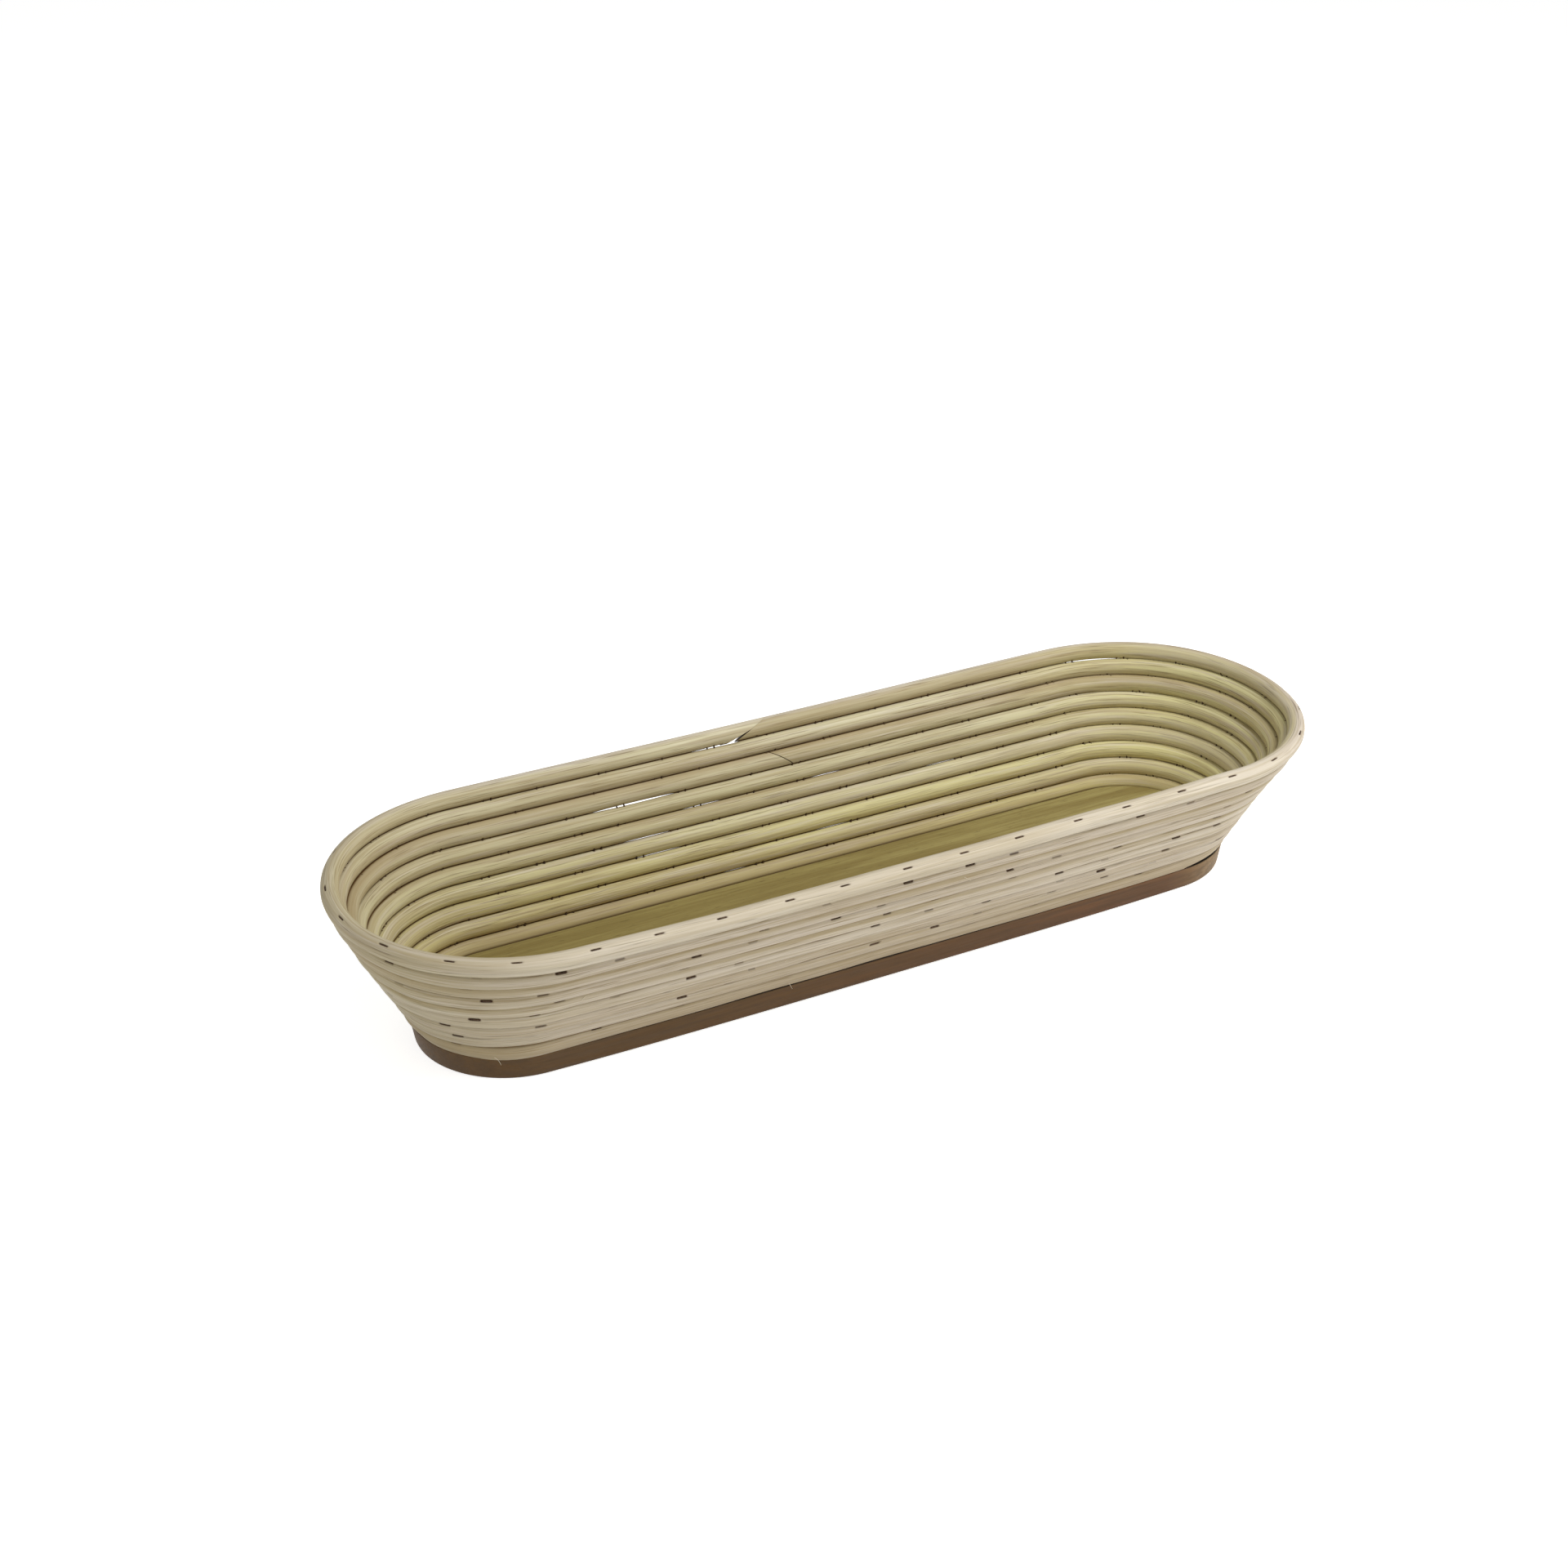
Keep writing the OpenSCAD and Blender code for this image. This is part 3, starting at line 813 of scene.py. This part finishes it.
def close_seams(made, distance):
    """Merges points that coincide and drops the faces that this leaves without area."""
    work = bmesh.new()
    work.from_mesh(made.data)
    bmesh.ops.remove_doubles(work, verts=work.verts, dist=distance)
    bmesh.ops.dissolve_degenerate(work, edges=work.edges, dist=distance / 10)
    work.to_mesh(made.data)
    work.free()


def staple_row(cane, staples, k):
    """Row k of staples: each a flat wire carried up one leg, round a tight bend, along the crown and down
    the other leg. The crown lies under the cane's skin. The legs aim a little inside the line where hoop k
    meets what is under it; the lowest row aims through the cane's middle into the board."""
    places = staple_places(k)
    centre, along, up, across, pitch = cane_line(cane, k, places[:, 0])
    angle = places[:, 1][:, None]
    hidden = 1 - staple_show(k, len(places))[:, None]
    skin = section_radius(cane, k, angle, pitch[:, None]) - staples.sunk - staples.buried * hidden
    crown = centre + skin * (np.cos(angle) * up + np.sin(angle) * across)
    target = centre
    if k > 1:
        target = centre - pitch[:, None] / 2 * up - staples.inside * across
    down = target - crown
    down /= np.linalg.norm(down, axis=1)[:, None]
    wide = np.cross(along, down)
    half = staples.crown / 2 - staples.wire_thick / 2
    bend = 0.7 * MM
    route = np.array([
        (-half, staples.leg), (-half, bend), (-half + 0.3 * bend, 0.3 * bend), (-half + bend, 0.0),
        (half - bend, 0.0), (half - 0.3 * bend, 0.3 * bend), (half, bend), (half, staples.leg)])
    head = np.gradient(route, axis=0)
    head /= np.linalg.norm(head, axis=1)[:, None]
    side = np.stack([-head[:, 1], head[:, 0]], -1)
    w, t = staples.wire_width / 2, staples.wire_thick / 2
    corners = np.array([(-w, -t), (w, -t), (w, t), (-w, t)])
    flat = route[:, None] + side[:, None] * corners[:, 1:]
    points = (crown[:, None, None] + flat[..., :1] * along[:, None, None]
              + flat[..., 1:] * down[:, None, None] + corners[:, :1] * wide[:, None, None])
    count, rings = len(places), len(route)
    ends = points[:, [0, -1]].mean(2)
    points = np.concatenate([points.reshape(count, rings * 4, 3), ends], 1)
    return put_mesh("wire_" + ROWS[k - 1], points.reshape(-1, 3), tube_faces(rings, 4, count))


def loose_fibres(cane):
    """A few thin fibres that spring out of the front: each a tapering hair carried along a curve that
    leaves the cane flat and bends away from it as the square of its length."""
    sides, steps = 5, 12
    blocks = []
    for k, at, angle, mm, lean in LOOSE:
        centre, along, up, across, _ = (part[0] for part in cane_line(cane, k, np.array([at * MM])))
        out = math.cos(math.radians(angle)) * up + math.sin(math.radians(angle)) * across
        over = math.cos(math.radians(lean)) * along + math.sin(math.radians(lean)) * np.cross(out, along)
        t = np.linspace(0, 1, steps)[:, None]
        route = centre + 0.97 * CANE_R * out + mm * MM * (t * over + 0.55 * t ** 2 * out)
        thick = (0.14 - 0.08 * t) * MM
        ring = np.arange(sides) / sides * TURN
        first = np.cross(over, out)
        second = np.cross(first, over)
        outwards = np.cos(ring)[:, None] * first + np.sin(ring)[:, None] * second
        skin = route[:, None] + thick[..., None] * outwards
        blocks.append(np.concatenate([skin.reshape(-1, 3), route[[0, -1]]]))
    points = np.concatenate(blocks)
    ones = np.ones(len(points))
    straight = np.stack([points[:, 0], 0 * ones, CANE_R * ones], -1)
    return put_mesh("loose_fibres", points, tube_faces(steps, sides, len(LOOSE)), {
        "straight": straight, "sanded": ones, "tone_and_light": ones, "hole_shade": 0 * ones, "touch": 0 * ones})


class BASKET_OT_board(bpy.types.Operator):
    """Makes the wooden base board"""
    bl_idname = "basket.board"
    bl_label = "Base board"

    def execute(self, context):
        board = context.scene.basket_board
        made = base_board(context.scene.basket_cane, board)
        made.data.materials.append(sanded_wood(board))
        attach(made, "root")
        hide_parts("base_board")
        return {"FINISHED"}


class BASKET_OT_hoops(bpy.types.Operator):
    """Makes the cane hoops from the bottom to the rim"""
    bl_idname = "basket.hoops"
    bl_label = "Cane hoops"

    def execute(self, context):
        scene = context.scene
        cane = scene.basket_cane
        finish = bare_cane(cane)
        for k in range(1, RIM + 1):
            made = cane_hoop(cane, scene.basket_staples, k)
            made.data.materials.append(finish)
            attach(made, "root")
            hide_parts(HOOPS[k - 1])
        return {"FINISHED"}


class BASKET_OT_staples(bpy.types.Operator):
    """Makes the rows of wire staples"""
    bl_idname = "basket.staples"
    bl_label = "Staples"

    def execute(self, context):
        scene = context.scene
        finish = tarnished_wire(scene.basket_staples)
        for k in range(1, len(ROWS) + 1):
            made = staple_row(scene.basket_cane, scene.basket_staples, k)
            made.data.materials.append(finish)
            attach(made, "root")
            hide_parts(ROWS[k - 1])
        return {"FINISHED"}


class BASKET_OT_fibres(bpy.types.Operator):
    """Makes the few loose fibres on the front"""
    bl_idname = "basket.fibres"
    bl_label = "Loose fibres"

    def execute(self, context):
        made = loose_fibres(context.scene.basket_cane)
        made.data.materials.append(bpy.data.materials["bare_rattan_cane"])
        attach(made, "root")
        return {"FINISHED"}


class BASKET_OT_stage(bpy.types.Operator):
    """Sets the camera, lamps, floor and surroundings"""
    bl_idname = "basket.stage"
    bl_label = "Stage"

    def execute(self, context):
        stage = context.scene.basket_stage
        set_camera(stage)
        set_lamps(stage)
        set_floor(stage)
        set_surroundings(stage)
        context.scene.view_settings.view_transform = "Standard"
        return {"FINISHED"}


def put_facing(name, data, place, back, right):
    """Puts a camera or a lamp in the scene, with the directions of its back and of its right side."""
    made = bpy.data.objects.new(name, data)
    matrix = np.eye(4)
    matrix[:3] = np.stack([right, np.cross(back, right), back, place], -1)
    made.matrix_world = Matrix(matrix.tolist())
    bpy.context.scene.collection.objects.link(made)
    return made


def set_camera(stage):
    """Camera on a ball round the basket: back points from the aim to the camera, right lies level."""
    az, el = stage.azimuth, stage.elevation
    back = np.array([math.sin(az) * math.cos(el), -math.cos(az) * math.cos(el), math.sin(el)])
    right = np.array([math.cos(az), math.sin(az), 0.0])
    place = np.array([0.0, 0.0, stage.aim_height]) + back * stage.distance
    data = bpy.data.cameras.new("camera")
    data.sensor_fit = "HORIZONTAL"
    data.sensor_width = 36.0
    data.lens = stage.lens
    data.shift_x = stage.shift_x
    data.shift_y = stage.shift_y
    data.clip_start = 0.01
    bpy.context.scene.camera = put_facing("camera", data, place, back, right)


def add_lamp(name, place, wide, tall, power):
    """Flat soft lamp that faces the middle of the basket."""
    data = bpy.data.lights.new(name, "AREA")
    data.shape = "RECTANGLE"
    data.size = wide
    data.size_y = tall
    data.energy = power
    back = np.array(place) / np.linalg.norm(place)
    right = np.cross([0.0, 0.0, 1.0], back)
    put_facing(name, data, place, back, right / np.linalg.norm(right))


def set_lamps(stage):
    """Large soft lamp high at the front right, a low one in front for the wall that leans out over the
    table, and a weak one at the left."""
    add_lamp("key_lamp", (0.55, -0.55, 1.15), 0.8, 0.8, stage.key)
    add_lamp("front_lamp", (0.8, -1.5, 0.22), 1.8, 0.36, stage.front)
    add_lamp("fill_lamp", (-1.7, -0.1, 1.0), 1.2, 1.2, stage.fill)


def set_floor(stage):
    """Plain pale floor just under the board. It takes the shadow; to the camera, and in reflections, a
    little glow lifts its lit parts to white."""
    reach = 4.0
    level = -0.1 * MM
    corners = [(x * reach, y * reach, level) for x, y in ((-1, -1), (1, -1), (1, 1), (-1, 1))]
    floor = put_mesh("floor", np.array(corners), [[0, 1, 2, 3]])
    made, tree, shader = new_material("matt_white_card")
    shader.inputs["Base Color"].default_value = rgba(stage.floor)
    shader.inputs["Roughness"].default_value = 0.9
    shader.inputs["Specular IOR Level"].default_value = 0.1
    path = add(tree, "ShaderNodeLightPath")
    seen = path.outputs["Is Camera Ray"]
    for other in ("Is Glossy Ray", "Is Transmission Ray"):
        seen = add(tree, "ShaderNodeMath", {0: seen, 1: path.outputs[other]}, operation="MAXIMUM").outputs[0]
    glow = add(tree, "ShaderNodeMath", {0: seen, 1: stage.glow}, operation="MULTIPLY")
    shader.inputs["Emission Color"].default_value = (1.0, 1.0, 1.0, 1.0)
    tree.links.new(glow.outputs[0], shader.inputs["Emission Strength"])
    floor.data.materials.append(made)


def set_surroundings(stage):
    """Even light from all round, seen as white by the camera and in reflections."""
    world = bpy.data.worlds.new("surroundings")
    bpy.context.scene.world = world
    world.use_nodes = True
    tree = world.node_tree
    sky = tree.nodes["Background"]
    sky.inputs["Color"].default_value = (1.0, 1.0, 1.0, 1.0)
    path = add(tree, "ShaderNodeLightPath")
    strength = add(tree, "ShaderNodeMapRange", {
        "Value": path.outputs["Is Camera Ray"], "To Min": stage.ambient, "To Max": 1.0})
    tree.links.new(strength.outputs["Result"], sky.inputs["Strength"])


class BASKET_PT_panel(bpy.types.Panel):
    """Lists the settings and the pieces of the basket"""
    bl_idname = "BASKET_PT_panel"
    bl_label = "Proofing basket"
    bl_space_type = "VIEW_3D"
    bl_region_type = "UI"
    bl_category = "Basket"

    def draw(self, context):
        for name in SETTINGS:
            group = getattr(context.scene, name)
            box = self.layout.box()
            for key in group.__annotations__:
                box.prop(group, key)
        for kind in OPERATORS:
            self.layout.operator(kind.bl_idname)


SETTINGS = {
    "basket_cane": CaneSettings,
    "basket_board": BoardSettings,
    "basket_staples": StapleSettings,
    "basket_stage": StageSettings,
}
OPERATORS = (BASKET_OT_board, BASKET_OT_hoops, BASKET_OT_staples, BASKET_OT_fibres, BASKET_OT_stage)
CLASSES = (*SETTINGS.values(), *OPERATORS, BASKET_PT_panel)


def register():
    for kind in CLASSES:
        bpy.utils.register_class(kind)
    for name, kind in SETTINGS.items():
        setattr(bpy.types.Scene, name, bpy.props.PointerProperty(type=kind))


def unregister():
    for name in SETTINGS:
        delattr(bpy.types.Scene, name)
    for kind in reversed(CLASSES):
        bpy.utils.unregister_class(kind)


def main():
    """Makes every piece in order."""
    register()
    bpy.ops.basket.board()
    bpy.ops.basket.hoops()
    bpy.ops.basket.staples()
    bpy.ops.basket.fibres()
    bpy.ops.basket.stage()


if __name__ == "__main__":
    main()
